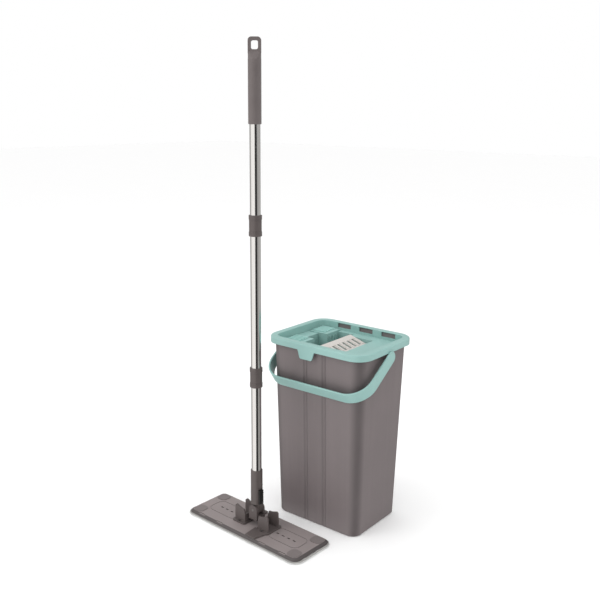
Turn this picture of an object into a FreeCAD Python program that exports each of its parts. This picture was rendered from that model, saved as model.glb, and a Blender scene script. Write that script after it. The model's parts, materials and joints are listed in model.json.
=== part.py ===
import FreeCAD, Part
import math
import os
import Sketcher

# Flat mop and bucket with a drop-in wringer, in millimetres, +Z up.
# The origin is the centre of the bucket's base, on the floor. +X runs along the bucket's
# front face, and the front faces -Y. The mop stands upright in front, to the left.

doc = FreeCAD.newDocument("mop_and_bucket")
sheet = doc.addObject("Spreadsheet::Sheet", "Dims")


class Size:
    """A length or angle taken from the sheet: its value now, and the expression that drives it."""

    def __init__(self, value, text):
        self.value = value
        self.text = text

    def _join(self, other, sign, value):
        text = other.text if isinstance(other, Size) else repr(other)
        return Size(value, f"({self.text} {sign} {text})")

    def __add__(self, other):
        return self._join(other, "+", self.value + number(other))

    def __sub__(self, other):
        return self._join(other, "-", self.value - number(other))

    def __mul__(self, other):
        return self._join(other, "*", self.value * number(other))

    def __truediv__(self, other):
        return self._join(other, "/", self.value / number(other))

    def __neg__(self):
        return Size(-self.value, f"(-1 * {self.text})")


def number(size):
    return size.value if isinstance(size, Size) else float(size)


def text_of(size):
    return size.text if isinstance(size, Size) else repr(float(size))


def cell(alias, value, meaning):
    """Writes one driving dimension to the next row of the sheet."""
    row = len(cells) + 1
    cells.append(alias)
    sheet.set(f"A{row}", alias)
    sheet.set(f"B{row}", str(value))
    sheet.set(f"C{row}", meaning)
    sheet.setAlias(f"B{row}", alias)
    return Size(float(value), f"Dims.{alias}")


cells = []

# Bucket shell
bucket_base_w = cell("bucket_base_w", 221, "outer width at the floor")
bucket_base_d = cell("bucket_base_d", 169, "outer depth at the floor")
bucket_top_w = cell("bucket_top_w", 242.5, "outer width at the top edge")
bucket_top_d = cell("bucket_top_d", 191.5, "outer depth at the top edge")
bucket_tall = cell("bucket_tall", 421, "height of the shell's top edge")
bucket_wall = cell("bucket_wall", 2.6, "wall thickness")
bucket_corner_low = cell("bucket_corner_low", 24, "corner radius at the floor")
bucket_corner_top = cell("bucket_corner_top", 27, "corner radius at the top edge")
bucket_floor = cell("bucket_floor", 8, "height of the inside floor")
base_bevel = cell("base_bevel", 3, "height of the bevel round the foot")
foot_rim = cell("foot_rim", 10, "width of the ring that the bucket stands on")
foot_recess = cell("foot_recess", 4, "depth of the recess under the floor")
groove_left = cell("groove_left", -24.5, "X of the left groove in the front face")
groove_right = cell("groove_right", 25.5, "X of the right groove in the front face")
groove_mouth = cell("groove_mouth", 10, "width of a groove at the face")
groove_bed = cell("groove_bed", 3, "width of a groove at its bottom")
groove_deep = cell("groove_deep", 1.6, "depth of a groove")
groove_tall = cell("groove_tall", 414, "height where a groove ends, under the collar")
boss_radius = cell("boss_radius", 10, "radius of the bail boss")
boss_face = cell("boss_face", 131.3, "X of the bail boss's outer face")

# Collar: rim, tray and slot mouth, one moulding that lifts off
rim_w = cell("rim_w", 264, "outer width of the rim")
rim_d = cell("rim_d", 213, "outer depth of the rim")
rim_corner = cell("rim_corner", 38, "outer corner radius of the rim")
rim_top = cell("rim_top", 425, "height of the rim's top")
rim_skirt = cell("rim_skirt", 14.5, "height of the rim's skirt")
rim_wall = cell("rim_wall", 2.6, "thickness of the skirt")
rim_crown = cell("rim_crown", 3, "thickness of the rim over the bucket's edge")
cup_w = cell("cup_w", 235.2, "outer width of the tray's wall")
cup_d = cell("cup_d", 184.2, "outer depth of the tray's wall")
cup_corner = cell("cup_corner", 23.5, "outer corner radius of the tray's wall")
cup_wall = cell("cup_wall", 2.2, "thickness of the tray's wall")
cup_lip = cell("cup_lip", 3, "how far the lip that carries the tray reaches in")
cup_lip_tall = cell("cup_lip_tall", 2, "height of that lip")
tray_top = cell("tray_top", 407, "height of the tray's floor")
tray_thick = cell("tray_thick", 3.5, "thickness of the tray's floor")
slot_left = cell("slot_left", -60, "X of the slot's left wall")
slot_right = cell("slot_right", -14, "X where the slot meets the comb")
slot_front = cell("slot_front", -66, "Y of the slot's front wall")
slot_back = cell("slot_back", 76, "Y of the slot's back wall")
notch_left = cell("notch_left", -86, "X of the notch's left end")
notch_front = cell("notch_front", -17, "Y of the notch's front side")
notch_back = cell("notch_back", 33, "Y of the notch's back side")
pit_right = cell("pit_right", 47, "X of the right edge of the comb's pit")
pit_front = cell("pit_front", -65, "Y of the front edge of the comb's pit")
pit_back = cell("pit_back", 63, "Y of the back edge of the comb's pit")
pit_high = cell("pit_high", 395, "height of the pit's floor at the slot")
pit_low = cell("pit_low", 385.5, "height of the pit's floor under the hinge")
pit_wall = cell("pit_wall", 2, "thickness of the pit's floor and walls")
ledge_top = cell("ledge_top", 410, "height of the scrub ledges beside the slot")
ledge_left = cell("ledge_left", -109, "X of the ledges' outer end")
ledge_front = cell("ledge_front", -80, "Y of the front ledge's far side")
ledge_back = cell("ledge_back", 84, "Y of the back ledge's far side")
rib_long = cell("rib_long", 36, "length of a scrub rib")
rib_wide = cell("rib_wide", 3.2, "width of a scrub rib")
rib_tall = cell("rib_tall", 3, "height of a scrub rib")
rib_pitch = cell("rib_pitch", 8.6, "distance between scrub ribs")
rib_left = cell("rib_left", -106, "X of the scrub ribs' outer end")
rib_front_y = cell("rib_front_y", -60, "Y of the first rib on the front ledge")
rib_back_y = cell("rib_back_y", 41, "Y of the first rib on the back ledge")
window_w = cell("window_w", 37, "width of a window in the tray's back wall")
window_low = cell("window_low", 412.5, "height of the windows' lower edge")
window_high = cell("window_high", 423.4, "height of the windows' upper edge")
window_first = cell("window_first", -52, "X of the first window's centre")
window_pitch = cell("window_pitch", 60.7, "distance between the windows")
tongue_left = cell("tongue_left", -36.5, "X of the pull tongue's upper left corner")
tongue_right = cell("tongue_right", 7.5, "X of the pull tongue's upper right corner")
tongue_taper = cell("tongue_taper", 6, "how far each side of the tongue leans in")
tongue_low = cell("tongue_low", 391, "height of the tongue's lower edge")

# Slot chute
chute_wall = cell("chute_wall", 2.4, "thickness of the chute's walls")
chute_low = cell("chute_low", 342, "height of the chute's lower edge")
chute_rib = cell("chute_rib", 3.4, "how far the chute's ribs stand out")
chute_rib_wide = cell("chute_rib_wide", 5, "width of a chute rib")
chute_rib_pitch = cell("chute_rib_pitch", 12, "distance between the chute's ribs")
chute_right_top = cell("chute_right_top", 396, "height of the wall under the comb's lip")

# Wringer comb and its pin
comb_x = cell("comb_x", 33, "X of the comb's hinge")
comb_z = cell("comb_z", 395, "height of the comb's hinge")
comb_slope = cell("comb_slope", 17.7, "slope of the comb at rest, degrees")
comb_long = cell("comb_long", 49.3, "from the hinge to the comb's lip")
comb_front = cell("comb_front", -62, "Y of the comb's front end")
comb_back = cell("comb_back", 60, "Y of the comb's back end")
comb_thick = cell("comb_thick", 3.2, "thickness of the comb")
comb_band = cell("comb_band", 15, "width of the solid band at the lip")
comb_foot = cell("comb_foot", 8, "from the hinge to the slots")
comb_slot = cell("comb_slot", 7.4, "width of a comb slot")
comb_pitch = cell("comb_pitch", 18.4, "distance between comb slots")
comb_first = cell("comb_first", -47, "Y of the first comb slot's centre")
comb_pin_r = cell("comb_pin_r", 2, "radius of the comb's pin")
comb_barrel_r = cell("comb_barrel_r", 4.2, "radius of the comb's hinge barrel")
comb_play = cell("comb_play", 0.08, "radial play of the comb on its pin")
lug_thick = cell("lug_thick", 6, "thickness of a lug that holds the comb's pin")

# Bail handle
bail_z = cell("bail_z", 400, "height of the bail's pivots")
bail_reach = cell("bail_reach", 127.5, "from the pivots to the middle of the hand bar")
bail_half = cell("bail_half", 134.5, "X of the middle of a bail arm")
bail_thick = cell("bail_thick", 4.2, "thickness of the bail's strap")
bail_wide = cell("bail_wide", 28, "width of the bail's strap")
bail_bend = cell("bail_bend", 50, "radius of the bail's corners, strap centre")
bail_droop = cell("bail_droop", 34.3, "angle of the hanging bail below level, degrees")
bail_stud_r = cell("bail_stud_r", 5, "radius of the bail's studs")
bail_stud_long = cell("bail_stud_long", 14, "length of the bail's studs")
bail_play = cell("bail_play", 0.08, "radial play of the studs in the bosses")

# Mop: place and tilt of its own frame
mop_x = cell("mop_x", -89.5, "X of the mop's centre")
mop_y = cell("mop_y", -181, "Y of the mop's centre")
mop_turn = cell("mop_turn", -3, "turn of the mop about Z, degrees")

# Mop plate, sole, pad
pad_long = cell("pad_long", 342, "length of the pad")
pad_wide = cell("pad_wide", 121, "width of the pad")
pad_thick = cell("pad_thick", 4.2, "thickness of the pad")
pad_corner = cell("pad_corner", 21, "corner radius of the pad")
velcro_long = cell("velcro_long", 270, "length of a hook strip")
velcro_wide = cell("velcro_wide", 22, "width of a hook strip")
velcro_thick = cell("velcro_thick", 0.8, "thickness of a hook strip")
velcro_y = cell("velcro_y", 32, "Y of a hook strip's middle")
sole_thick = cell("sole_thick", 1.2, "thickness of the sole panel")
plate_long = cell("plate_long", 334, "length of the plate's lower edge")
plate_wide = cell("plate_wide", 116, "width of the plate's lower edge")
plate_long_top = cell("plate_long_top", 326, "length of the plate's top")
plate_wide_top = cell("plate_wide_top", 108, "width of the plate's top")
plate_corner = cell("plate_corner", 16, "corner radius of the plate")
plate_top = cell("plate_top", 10, "height of the plate's top")
plate_skin = cell("plate_skin", 2, "thickness of the plate's skin")
plate_bevel = cell("plate_bevel", 1.5, "height of the bevel round the plate's top")
panel_near = cell("panel_near", 50, "X where an engraved outline starts")
panel_far = cell("panel_far", 137, "X where an engraved outline ends")
panel_half = cell("panel_half", 24, "half width of an engraved outline")
panel_line = cell("panel_line", 1.2, "width of the engraved line")
panel_deep = cell("panel_deep", 0.8, "depth of the engraved line")
drain_first = cell("drain_first", 64, "X of the first drain slot's centre")
drain_pitch = cell("drain_pitch", 16, "distance between drain slots")
drain_long = cell("drain_long", 8, "length of a drain slot")
drain_wide = cell("drain_wide", 3, "width of a drain slot")
tab_long = cell("tab_long", 19, "length of an edge recess")
tab_wide = cell("tab_wide", 3.6, "width of an edge recess")
tab_deep = cell("tab_deep", 1.4, "depth of an edge recess")
bumper_reach = cell("bumper_reach", 28, "size of a corner bumper")
bumper_thick = cell("bumper_thick", 1, "how far a corner bumper stands proud")

# Hinges between the plate and the handle
cradle_in = cell("cradle_in", 20, "X of a cradle's inner end wall")
cradle_out = cell("cradle_out", 50, "X of a cradle's outer end")
cradle_half = cell("cradle_half", 17.6, "half width of a cradle")
cradle_gap = cell("cradle_gap", 28.6, "clear width between a cradle's walls")
cradle_top = cell("cradle_top", 49.2, "height of a cradle's walls")
cradle_wall = cell("cradle_wall", 4.5, "thickness of a cradle's end wall")
cradle_floor = cell("cradle_floor", 3, "thickness of a cradle's flange")
end_wall_top = cell("end_wall_top", 31, "height of a cradle's end wall")
foot_half = cell("foot_half", 53, "how far a bracket's foot reaches along Y")
tilt_z = cell("tilt_z", 24.9, "height of the long cross pin")
fold_z = cell("fold_z", 47.2, "height of the short cross pin")
hinge_pin_r = cell("hinge_pin_r", 3, "radius of both hinge pins")
hinge_play = cell("hinge_play", 0.06, "radial play of both hinges")
seat_play = cell("seat_play", 0.03, "radial gap where a pin or tube is held")
screw_head_r = cell("screw_head_r", 2.6, "radius of a bracket screw's head")
screw_head_tall = cell("screw_head_tall", 1.6, "height of a bracket screw's head")
screw_r = cell("screw_r", 1.3, "radius of a bracket screw's shank")
yoke_half = cell("yoke_half", 12, "half width of the yoke along X")
yoke_depth = cell("yoke_depth", 26, "depth of the yoke along Y")
yoke_hub_r = cell("yoke_hub_r", 7.5, "radius of the yoke's hub")
yoke_hub_long = cell("yoke_hub_long", 38, "length of the yoke's hub along X")
tongue_thick = cell("tongue_thick", 13.4, "thickness of the socket's tongue")
tongue_gap = cell("tongue_gap", 14.2, "clear width of the yoke's fork")

# Handle
socket_low = cell("socket_low", 60.9, "height of the socket's lower end")
socket_top = cell("socket_top", 141.8, "height of the socket's upper end")
socket_r = cell("socket_r", 13, "radius of the socket")
tube_r = cell("tube_r", 11, "outer radius of the handle tubes")
tube_wall = cell("tube_wall", 0.8, "wall thickness of the handle tubes")
tube_low = cell("tube_low", 102, "height of the lower tube's lower end")
lower_split = cell("lower_split", 355.6, "height where the lower and middle tubes meet")
upper_split = cell("upper_split", 682, "height where the middle and upper tubes meet")
tube_top = cell("tube_top", 990.7, "height of the upper tube's upper end")
sleeve_r = cell("sleeve_r", 13.7, "radius of a joint sleeve")
sleeve_tall = cell("sleeve_tall", 43.5, "height of a joint sleeve")
coupler_tall = cell("coupler_tall", 70, "height of the threaded coupler in a joint")
coupler_bore = cell("coupler_bore", 6, "radius of the hole through a coupler")
grip_low = cell("grip_low", 884.5, "height of the grip's lower end")
grip_round = cell("grip_round", 1009, "height where the grip starts to flatten")
grip_top = cell("grip_top", 1050.6, "height of the grip's top")
grip_r = cell("grip_r", 13.3, "radius of the grip")
grip_tab = cell("grip_tab", 8, "thickness of the grip's hanging tab")
grip_turn = cell("grip_turn", 41, "turn of the grip about the handle, degrees")
hang_wide = cell("hang_wide", 14, "width of the hanging hole")
hang_tall = cell("hang_tall", 17, "height of the hanging hole")
hang_z = cell("hang_z", 1035.4, "height of the hanging hole's middle")
catch_low = cell("catch_low", 63.4, "height of the catch's lower end")
catch_tall = cell("catch_tall", 32, "height of the catch")
catch_wide = cell("catch_wide", 12, "width of the catch")
catch_proud = cell("catch_proud", 2, "how far the catch stands out of the socket")
catch_deep = cell("catch_deep", 3, "how far the catch's track is sunk")
catch_travel = cell("catch_travel", 6, "travel of the catch")

doc.recompute()

# Small gaps and over-cuts that keep faces apart or cuts clean
HAIR = 0.3
OVER = 1.0


# ---------------------------------------------------------------- helpers

def origin_plane(body, role):
    for item in body.Origin.OriginFeatures:
        if item.Role == role:
            return item
    raise ValueError(role)


def new_body(label):
    body = doc.addObject("PartDesign::Body", label)
    body.Label = label
    return body


def sketch_on(body, name, role="XY_Plane", offset=0.0):
    """A sketch on one of the body's own origin planes, moved along that plane's normal."""
    sketch = body.newObject("Sketcher::SketchObject", f"{body.Label}_{name}")
    sketch.AttachmentSupport = (origin_plane(body, role), [""])
    sketch.MapMode = "FlatFace"
    sketch.AttachmentOffset = FreeCAD.Placement(FreeCAD.Vector(0, 0, number(offset)), FreeCAD.Rotation())
    sketch.setExpression("AttachmentOffset.Base.z", text_of(offset))
    return sketch


def fix_point(sketch, index, place, x, y):
    """Holds one end point of a curve at x, y, both driven by the sheet."""
    for kind, size in (("DistanceX", x), ("DistanceY", y)):
        made = sketch.addConstraint(Sketcher.Constraint(kind, -1, 1, index, place, number(size)))
        sketch.setExpression(f"Constraints[{made}]", text_of(size))


def outline(sketch, points):
    """A closed polygon whose corners are driven by the sheet."""
    places = [FreeCAD.Vector(number(x), number(y), 0) for x, y in points]
    count = len(points)
    first = sketch.GeometryCount
    for index in range(count):
        sketch.addGeometry(Part.LineSegment(places[index], places[(index + 1) % count]), False)
    for index in range(count):
        following = first + (index + 1) % count
        sketch.addConstraint(Sketcher.Constraint("Coincident", first + index, 2, following, 1))
    for index, (x, y) in enumerate(points):
        fix_point(sketch, first + index, 1, x, y)


def rectangle(sketch, x_low, x_high, y_low, y_high):
    outline(sketch, [(x_low, y_low), (x_high, y_low), (x_high, y_high), (x_low, y_high)])


def circle(sketch, radius, x=0.0, y=0.0):
    centre = FreeCAD.Vector(number(x), number(y), 0)
    index = sketch.addGeometry(Part.Circle(centre, FreeCAD.Vector(0, 0, 1), number(radius)), False)
    made = sketch.addConstraint(Sketcher.Constraint("Radius", index, number(radius)))
    sketch.setExpression(f"Constraints[{made}]", text_of(radius))
    fix_point(sketch, index, 3, x, y)


def rounded(sketch, width, depth, corner, x=0.0, y=0.0):
    """A rectangle with round corners, centred on x, y."""
    half_w, half_d, radius = number(width) / 2, number(depth) / 2, number(corner)
    mid_x, mid_y = number(x), number(y)
    first = sketch.GeometryCount
    ways = [(1, 1, 0), (-1, 1, 90), (-1, -1, 180), (1, -1, 270)]
    arcs = []
    for side_x, side_y, start in ways:
        centre = FreeCAD.Vector(mid_x + side_x * (half_w - radius), mid_y + side_y * (half_d - radius), 0)
        ring = Part.Circle(centre, FreeCAD.Vector(0, 0, 1), radius)
        arcs.append(Part.ArcOfCircle(ring, math.radians(start), math.radians(start + 90)))
    for index, arc in enumerate(arcs):
        sketch.addGeometry(arc, False)
        sketch.addGeometry(Part.LineSegment(arc.EndPoint, arcs[(index + 1) % 4].StartPoint), False)
    for index in range(4):
        arc, line = first + 2 * index, first + 2 * index + 1
        sketch.addConstraint(Sketcher.Constraint("Tangent", arc, 2, line, 1))
        sketch.addConstraint(Sketcher.Constraint("Tangent", line, 2, first + (2 * index + 2) % 8, 1))
        sketch.addConstraint(Sketcher.Constraint("Horizontal" if index % 2 == 0 else "Vertical", line))
        if index:
            sketch.addConstraint(Sketcher.Constraint("Equal", first, arc))
    made = sketch.addConstraint(Sketcher.Constraint("Radius", first, radius))
    sketch.setExpression(f"Constraints[{made}]", text_of(corner))
    x, y = as_size(x), as_size(y)
    width, depth = as_size(width), as_size(depth)
    held = [
        ("DistanceX", first, 1, x + width / 2),
        ("DistanceY", first + 1, 1, y + depth / 2),
        ("DistanceX", first + 3, 1, x - width / 2),
        ("DistanceY", first + 5, 1, y - depth / 2),
    ]
    for kind, index, place, size in held:
        made = sketch.addConstraint(Sketcher.Constraint(kind, -1, 1, index, place, size.value))
        sketch.setExpression(f"Constraints[{made}]", size.text)


def as_size(size):
    return size if isinstance(size, Size) else Size(float(size), repr(float(size)))


def grow(body, sketch, length, back=False, both=False):
    """Pads a sketch and checks that the body gained material."""
    return extrude(body, sketch, "PartDesign::Pad", length, back, both)


def cut(body, sketch, length, back=False, both=False):
    """Pockets a sketch against its normal, or along it when back is set, and checks the volume."""
    return extrude(body, sketch, "PartDesign::Pocket", length, back, both)


def extrude(body, sketch, kind, length, back, both):
    before = body.Shape.Volume if body.Tip is not None and not body.Shape.isNull() else 0.0
    feature = body.newObject(kind, f"{sketch.Name}_{kind.split('::')[1]}")
    feature.Profile = sketch
    feature.Length = number(length)
    feature.setExpression("Length", text_of(length))
    feature.SideType = "Symmetric" if both else "One side"
    feature.Reversed = back
    sketch.Visibility = False
    doc.recompute()
    change = body.Shape.Volume - before
    wanted = change > 0 if kind.endswith("Pad") else change < 0
    if not wanted:
        raise RuntimeError(f"{feature.Name} changed nothing")
    return feature


def loft(body, kind, low, high):
    feature = body.newObject(kind, f"{low.Name}_loft")
    feature.Profile = low
    feature.Sections = [high]
    doc.recompute()
    return feature


def soften(body, radius, wanted):
    """Fillets the tip's edges that the test picks."""
    base = body.Tip
    names = [f"Edge{i + 1}" for i, edge in enumerate(base.Shape.Edges) if wanted(edge)]
    if not names:
        raise RuntimeError(f"{body.Label} has no edge to soften")
    feature = body.newObject("PartDesign::Fillet", f"{body.Label}_fillet")
    feature.Base = (base, names)
    feature.Radius = number(radius)
    doc.recompute()
    return feature


def at_height(edge, level):
    """True for an edge that lies all in one level plane."""
    return abs(edge.BoundBox.ZMin - level) < 1e-3 and abs(edge.BoundBox.ZMax - level) < 1e-3


def part(kind, label, placement=None, **sizes):
    """A Part primitive whose sizes are driven by the sheet."""
    thing = doc.addObject(kind, label)
    thing.Label = label
    for name, size in sizes.items():
        setattr(thing, name, number(size))
        thing.setExpression(name, text_of(size))
    if placement is not None:
        thing.Placement = placement
    return thing


def move(thing, x=0.0, y=0.0, z=0.0):
    """Places an object at x, y, z, driven by the sheet."""
    for name, size in (("x", x), ("y", y), ("z", z)):
        thing.setExpression(f"Placement.Base.{name}", text_of(size))


def turned(axis, degrees):
    return FreeCAD.Placement(FreeCAD.Vector(), FreeCAD.Rotation(FreeCAD.Vector(*axis), degrees))


def joined(label, kind, *things):
    """A Part boolean with the things given: Part::MultiFuse, or Part::Cut of the first two."""
    whole = doc.addObject(kind, label)
    whole.Label = label
    if kind == "Part::Cut":
        whole.Base, whole.Tool = things
    else:
        whole.Shapes = list(things)
    return whole


def stand_with_mop(thing):
    """Puts a part that is built in the mop's own frame where the mop stands."""
    turn = FreeCAD.Rotation(FreeCAD.Vector(0, 0, 1), mop_turn.value)
    thing.Placement = FreeCAD.Placement(FreeCAD.Vector(mop_x.value, mop_y.value, 0), turn)
    move(thing, mop_x, mop_y)
    thing.setExpression("Placement.Rotation.Angle", mop_turn.text)


# ---------------------------------------------------------------- bucket

def bucket_wide(level):
    """The shell's outer width at a height."""
    return bucket_base_w + (bucket_top_w - bucket_base_w) * (level / bucket_tall)


def bucket_deep(level):
    return bucket_base_d + (bucket_top_d - bucket_base_d) * (level / bucket_tall)


def make_bucket_body():
    body = new_body("bucket_body")
    low = sketch_on(body, "outer_low", offset=base_bevel)
    rounded(low, bucket_wide(base_bevel), bucket_deep(base_bevel), bucket_corner_low)
    high = sketch_on(body, "outer_top", offset=bucket_tall)
    rounded(high, bucket_top_w, bucket_top_d, bucket_corner_top)
    loft(body, "PartDesign::AdditiveLoft", low, high)
    foot = sketch_on(body, "foot")
    rounded(foot, bucket_base_w - base_bevel * 1.6, bucket_base_d - base_bevel * 1.6,
            bucket_corner_low - base_bevel * 0.8)
    ankle = sketch_on(body, "ankle", offset=base_bevel)
    rounded(ankle, bucket_wide(base_bevel), bucket_deep(base_bevel), bucket_corner_low)
    loft(body, "PartDesign::AdditiveLoft", foot, ankle)

    low = sketch_on(body, "inner_low", offset=bucket_floor)
    wall = bucket_wall * 2
    rounded(low, bucket_wide(bucket_floor) - wall, bucket_deep(bucket_floor) - wall,
            bucket_corner_low - bucket_wall)
    over = bucket_tall + OVER
    high = sketch_on(body, "inner_top", offset=over)
    rounded(high, bucket_wide(over) - wall, bucket_deep(over) - wall, bucket_corner_top - bucket_wall)
    loft(body, "PartDesign::SubtractiveLoft", low, high)

    recess = sketch_on(body, "recess", offset=foot_recess)
    inset = foot_rim * 2
    rounded(recess, bucket_base_w - inset, bucket_base_d - inset, bucket_corner_low - foot_rim + 2)
    cut(body, recess, foot_recess)

    for name, x in (("left", groove_left), ("right", groove_right)):
        make_groove(body, name, x)

    for name, side in (("left", -1), ("right", 1)):
        boss = sketch_on(body, f"boss_{name}", "YZ_Plane", boss_face * side)
        circle(boss, boss_radius, 0.0, bail_z)
        grow(body, boss, boss_face - bucket_wide(bail_z) / 2 + bucket_wall / 2, back=side > 0)
        bore = sketch_on(body, f"bore_{name}", "YZ_Plane", boss_face * side)
        circle(bore, bail_stud_r + bail_play, 0.0, bail_z)
        cut(body, bore, bail_stud_long + 3, back=side < 0)
    return body


def make_groove(body, name, x):
    """A shallow groove that follows the leaning front face from the floor to under the collar."""
    ends = []
    for end, level in (("low", 0.0), ("top", groove_tall)):
        face = -bucket_deep(as_size(level)) / 2
        sketch = sketch_on(body, f"groove_{name}_{end}", offset=level)
        outer = groove_mouth / 2 + groove_mouth / 2 * OVER
        outline(sketch, [
            (-outer + x, face - groove_deep * OVER),
            (outer + x, face - groove_deep * OVER),
            (groove_bed / 2 + x, face + groove_deep),
            (-groove_bed / 2 + x, face + groove_deep),
        ])
        ends.append(sketch)
    loft(body, "PartDesign::SubtractiveLoft", *ends)


# ---------------------------------------------------------------- collar

def make_collar():
    body = new_body("collar")
    rim = sketch_on(body, "rim", offset=rim_top)
    rounded(rim, rim_w, rim_d, rim_corner)
    grow(body, rim, rim_skirt, back=True)
    soften(body, 3.5, lambda edge: at_height(edge, rim_top.value))

    hollow = sketch_on(body, "hollow", offset=rim_top - rim_skirt)
    rounded(hollow, rim_w - rim_wall * 2, rim_d - rim_wall * 2, rim_corner - rim_wall)
    cut(body, hollow, rim_skirt - rim_crown, back=True)

    cup = sketch_on(body, "cup", offset=rim_top - rim_crown / 2)
    rounded(cup, cup_w, cup_d, cup_corner)
    lip_low = tray_top - tray_thick - cup_lip_tall
    grow(body, cup, rim_top - rim_crown / 2 - lip_low, back=True)
    inside = sketch_on(body, "inside", offset=rim_top)
    rounded(inside, cup_w - cup_wall * 2, cup_d - cup_wall * 2, cup_corner - cup_wall)
    cut(body, inside, rim_top - tray_top + tray_thick)
    soften(body, 1.4, lambda edge: at_height(edge, rim_top.value) and edge.BoundBox.DiagonalLength > 0
           and max(abs(edge.BoundBox.XMin), abs(edge.BoundBox.XMax)) < number(cup_w) / 2
           and max(abs(edge.BoundBox.YMin), abs(edge.BoundBox.YMax)) < number(cup_d) / 2)
    through = sketch_on(body, "through", offset=rim_top)
    reach = (cup_wall + cup_lip) * 2
    rounded(through, cup_w - reach, cup_d - reach, cup_corner - cup_wall - cup_lip)
    cut(body, through, rim_top - lip_low + OVER)

    make_windows(body)
    make_tongue(body)
    return body


def make_wringer_tray():
    """The tray's floor, with the scrub ledges, the slot and the comb's seat. It rests on the collar's lip."""
    body = new_body("wringer_tray")
    floor = sketch_on(body, "floor", offset=tray_top)
    room = (cup_wall + HAIR) * 2
    rounded(floor, cup_w - room, cup_d - room, cup_corner - cup_wall - HAIR)
    grow(body, floor, tray_thick, back=True)
    make_ledges(body)
    make_slot_mouth(body)
    make_pit(body)
    make_comb_seats(body)
    return body


def make_ledges(body):
    """Two raised ledges beside the slot, each with a washboard of ribs."""
    for name, y_low, y_high in (("front", ledge_front, notch_front), ("back", notch_back, ledge_back)):
        ledge = sketch_on(body, f"ledge_{name}", offset=ledge_top)
        rectangle(ledge, ledge_left, slot_left + HAIR, y_low, y_high)
        grow(body, ledge, ledge_top - tray_top + tray_thick / 2, back=True)
    for name, first in (("front", rib_front_y), ("back", rib_back_y)):
        for index in range(5):
            rib = sketch_on(body, f"rib_{name}_{index}", offset=ledge_top + rib_tall)
            y = first + rib_pitch * index
            rounded(rib, rib_long, rib_wide, rib_wide / 2 - 0.05, rib_left + rib_long / 2, y)
            grow(body, rib, rib_tall + tray_thick / 2, back=True)


def make_slot_mouth(body):
    """The slot, the notch for the mop's joint and the comb's pit, cut right through the tray."""
    mouth = sketch_on(body, "mouth", offset=ledge_top + rib_tall)
    outline(mouth, [
        (slot_left, slot_front), (slot_right, slot_front), (slot_right, pit_front), (pit_right, pit_front),
        (pit_right, pit_back), (slot_right, pit_back), (slot_right, slot_back), (slot_left, slot_back),
        (slot_left, notch_back), (notch_left, notch_back), (notch_left, notch_front), (slot_left, notch_front),
    ])
    cut(body, mouth, ledge_top + rib_tall - tray_top + tray_thick + OVER)


def make_pit(body):
    """The sloping basin under the comb, which drains through three slots."""
    under = tray_top - tray_thick / 2
    for name, y in (("front", pit_front - pit_wall), ("back", pit_back)):
        side = sketch_on(body, f"pit_{name}", "XZ_Plane", -y)
        outline(side, [
            (slot_right + HAIR, pit_high - pit_wall), (slot_right + HAIR, under), (pit_right + pit_wall, under),
            (pit_right + pit_wall, pit_low - pit_wall), (comb_x - 6, pit_low - pit_wall),
        ])
        grow(body, side, pit_wall, back=True)
    basin = sketch_on(body, "basin", "XZ_Plane", -pit_front)
    outline(basin, [
        (slot_right + HAIR, pit_high - pit_wall), (slot_right + HAIR, pit_high), (comb_x - 6, pit_low),
        (pit_right, pit_low), (pit_right, under), (pit_right + pit_wall, under),
        (pit_right + pit_wall, pit_low - pit_wall), (comb_x - 6, pit_low - pit_wall),
    ])
    grow(body, basin, pit_back - pit_front, back=True)
    for index in range(3):
        drain = sketch_on(body, f"drain_{index}", offset=pit_high)
        rounded(drain, 4.0, 24.0, 1.9, comb_x + 6, -40.0 + 40.0 * index)
        cut(body, drain, pit_high - pit_low + pit_wall + OVER)


def make_windows(body):
    """Three windows in the tray's back wall."""
    for index in range(3):
        window = sketch_on(body, f"window_{index}", "XZ_Plane", -cup_d / 2 - OVER)
        x = window_first + window_pitch * index
        rectangle(window, x - window_w / 2, x + window_w / 2, window_low, window_high)
        cut(body, window, cup_wall + OVER * 2, back=True)


def make_tongue(body):
    """The pull tongue that hangs from the front skirt."""
    tongue = sketch_on(body, "tongue", "XZ_Plane", rim_d / 2)
    top = rim_top - rim_skirt / 2
    bend = rim_top - rim_skirt
    outline(tongue, [
        (tongue_left, top), (tongue_left, bend), (tongue_left + tongue_taper, tongue_low),
        (tongue_right - tongue_taper, tongue_low), (tongue_right, bend), (tongue_right, top),
    ])
    grow(body, tongue, rim_wall, back=True)
    low = tongue_low.value
    front = -rim_d.value / 2
    soften(body, 4.5, lambda edge: abs(edge.BoundBox.XLength) < 1e-3 and abs(edge.BoundBox.ZMin - low) < 1e-3
           and abs(edge.BoundBox.ZMax - low) < 1e-3 and edge.BoundBox.YMin < front + 1.0)


def make_comb_seats(body):
    """Lugs under the tray that hold the comb's pin, and pads that stop the comb at rest."""
    lug_front = pit_front - lug_thick - OVER
    lug_back = pit_back + OVER
    for name, y_low in (("front", lug_front), ("back", lug_back)):
        lug = sketch_on(body, f"lug_{name}", "XZ_Plane", -y_low)
        wide = comb_barrel_r + 1.5
        rectangle(lug, comb_x - wide, comb_x + wide, comb_z - wide, tray_top - tray_thick + OVER)
        grow(body, lug, lug_thick, back=True)
        bore = sketch_on(body, f"lug_bore_{name}", "XZ_Plane", -y_low + pit_wall)
        circle(bore, comb_pin_r + seat_play, comb_x, comb_z)
        cut(body, bore, lug_thick + pit_wall * 2)
    stop_top = tray_top - tray_thick / 2 + HAIR
    for name, y_low, y_high in (("front", pit_front - OVER, comb_front + 4),
                                ("back", comb_back - 4, pit_back + OVER)):
        stop = sketch_on(body, f"stop_{name}", offset=stop_top - 1.2)
        rectangle(stop, slot_right + 3, slot_right + 10, y_low, y_high)
        grow(body, stop, tray_thick - 1.2, back=True)


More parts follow.
